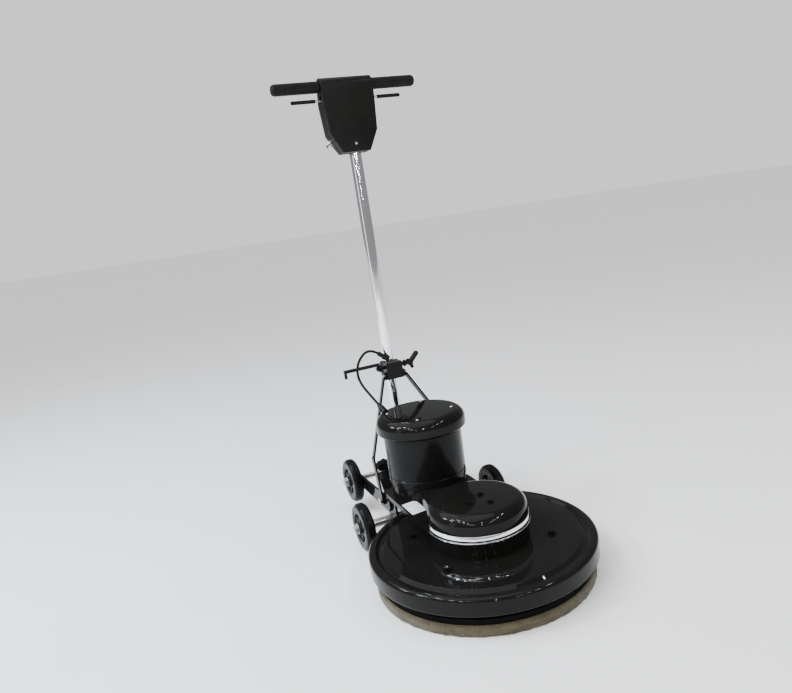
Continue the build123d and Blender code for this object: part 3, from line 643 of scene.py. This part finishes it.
def housing_half(front):
    """One half of the switch housing: a shield outline crossed with the rolled side profile."""
    shield = [(72, 1100), (72, 1008), (66, 925), (39, 872)]
    shield += [(-x, z) for x, z in reversed(shield)]
    turns = [math.radians(a) for a in range(0, 181, 9)]
    roll = [(22 * math.cos(a), BAR_Z + 22 * math.sin(a)) for a in turns]
    side = [(34, 905), (34, 1002)] + roll + [(-22, 872), (22, 872)]
    slot_box = [(-6, 1007), (8.5, 1007), (8.5, 1025), (-6, 1025)]
    half_box = [(-40, 860), (1.6, 860), (1.6, 1080), (-40, 1080)]
    if not front:
        half_box = [(2.4, 860), (50, 860), (50, 1080), (2.4, 1080)]
    mesh = combined(
        extruded(shield, "XZ", -60, 60),
        (extruded(side, "YZ", -100, 100), "INTERSECT"),
        (extruded(half_box, "YZ", -100, 100), "INTERSECT"),
        (extruded(slot_box, "YZ", -90, -45), "DIFFERENCE"),
        (extruded(slot_box, "YZ", 45, 90), "DIFFERENCE"),
    )
    return on_handle(bevelled(mesh, 2.2 if front else 1.8, 3, 30))


def build_housing():
    for front, name in ((True, "front"), (False, "rear")):
        piece = make_piece(f"switch_shell_{name}", housing_half(front), "handle", "satin", 30)
        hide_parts("housing_" + name)
    head = [(0, 0, 0), (3.6, 0, 0), (3.4, 1.1, 0.5), (1.9, 1.7, 0.4), (1.3, 0.8, 0), (0, 0.8, 0)]
    mesh = handle_lathe(rounded(head, 4), (0, -21.9, 893), (0, -1, 0), 32)
    make_piece("shell_screw", mesh, "handle", "zinc")


def build_lead():
    """Motor lead: a NURBS spline on the route's points, made into a tube."""
    curve = bpy.data.curves.new("lead_line", "CURVE")
    curve.dimensions = "3D"
    curve.resolution_u = 12
    spline = curve.splines.new("NURBS")
    spline.points.add(len(LEAD_ROUTE) - 1)
    for point, place in zip(spline.points, LEAD_ROUTE):
        point.co = (*place, 1)
    spline.order_u = 3
    spline.use_endpoint_u = True
    line = bpy.data.objects.new("lead_line", curve)
    bpy.context.scene.collection.objects.link(line)
    bpy.context.view_layer.update()
    depsgraph = bpy.context.evaluated_depsgraph_get()
    path = [tuple(v.co) for v in bpy.data.meshes.new_from_object(line.evaluated_get(depsgraph)).vertices]
    curve.bevel_depth = LEAD_D / 2
    curve.bevel_resolution = 6
    curve.use_fill_caps = True
    mesh = applied(line)
    lead = make_piece("lead", mesh, None, "rubber", 60)
    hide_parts("motor_lead")
    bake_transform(lead)


# Stage

def area_light(name, place, target, size, power, colour=(1, 1, 1)):
    light = bpy.data.lights.new(name, "AREA")
    light.shape = "RECTANGLE"
    light.size, light.size_y = size
    light.energy = power
    light.color = colour
    lamp = bpy.data.objects.new(name, light)
    lamp.matrix_world = axis_frame(place, Vector(place) - Vector(target))
    bpy.context.scene.collection.objects.link(lamp)


def ceiling_rows():
    """Rows of ceiling tubes that run away behind the camera and show as dashes on the gloss paint."""
    along = Vector((-0.352, -0.936, 0))
    across = Vector((0.936, -0.352, 0))
    height, pitch, tubes = 3, 1.15, 6
    rows = ((-2.3, 0.2), (-1.75, 0.5), (1.9, 0.3), (0.15, 3.2))
    for number, (offset, start) in enumerate(rows):
        for step in range(tubes):
            place = across * offset + along * (start + pitch * step) + Vector((0, 0, height))
            light = bpy.data.lights.new("tube", "AREA")
            light.shape = "RECTANGLE"
            light.size, light.size_y = 0.07, 0.55
            light.energy = 20
            lamp = bpy.data.objects.new(f"tube_{number}_{step}", light)
            lamp.location = place
            lamp.rotation_euler = (0, 0, math.atan2(-along.x, along.y))
            bpy.context.scene.collection.objects.link(lamp)


def build_stage():
    bm = bmesh.new()
    bmesh.ops.create_grid(bm, x_segments=2, y_segments=2, size=60)
    mesh = bpy.data.meshes.new("floor")
    bm.to_mesh(mesh)
    bm.free()
    floor = bpy.data.objects.new("floor", mesh)
    pale = Shader("pale_floor")
    pale.colour(pale.ramp(pale.noise(3, 3), shades((0.9, 0.9, 0.9), (0.92, 0.92, 0.92))))
    pale.set(Roughness=0.9, Specular_IOR_Level=0.1)
    mesh.materials.append(pale.material)
    bpy.context.scene.collection.objects.link(floor)
    world = bpy.data.worlds.new("studio")
    bpy.context.scene.world = world
    world.use_nodes = True
    tree = world.node_tree
    dim = tree.nodes["Background"]
    dim.inputs["Color"].default_value = (0.75, 0.77, 0.8, 1)
    dim.inputs["Strength"].default_value = 0.4
    pale_sky = tree.nodes.new("ShaderNodeBackground")
    pale_sky.inputs["Color"].default_value = (1, 1, 1, 1)
    pale_sky.inputs["Strength"].default_value = 1.05
    mix = tree.nodes.new("ShaderNodeMixShader")
    path = tree.nodes.new("ShaderNodeLightPath")
    tree.links.new(path.outputs["Is Camera Ray"], mix.inputs["Fac"])
    tree.links.new(dim.outputs[0], mix.inputs[1])
    tree.links.new(pale_sky.outputs[0], mix.inputs[2])
    tree.links.new(mix.outputs[0], tree.nodes["World Output"].inputs["Surface"])
    sky = bpy.data.lights.new("ceiling", "SUN")
    sky.energy = 2.4
    sky.angle = math.radians(70)
    lamp = bpy.data.objects.new("ceiling", sky)
    lamp.rotation_euler = (math.radians(-12), math.radians(-14), 0)
    bpy.context.scene.collection.objects.link(lamp)
    area_light("softbox_left", (-3.4, -0.2, 1.3), (0, 0.3, 0.7), (0.9, 2.4), 12)
    area_light("window_left", (-2.3, 1.3, 2.2), (0, 0.1, 0.3), (0.55, 0.3), 45, (0.62, 0.78, 1.0))
    area_light("window_near", (-2.2, 0.4, 2.1), (0, 0.1, 0.3), (0.3, 0.22), 24, (0.62, 0.78, 1.0))
    ceiling_rows()


place_camera()
finish_cad_nodes()
build_deck()
build_pad()
build_covers()
build_motor()
build_labels()
build_wheels()
build_tube()
build_grips()
build_housing()
build_lead()
build_stage()
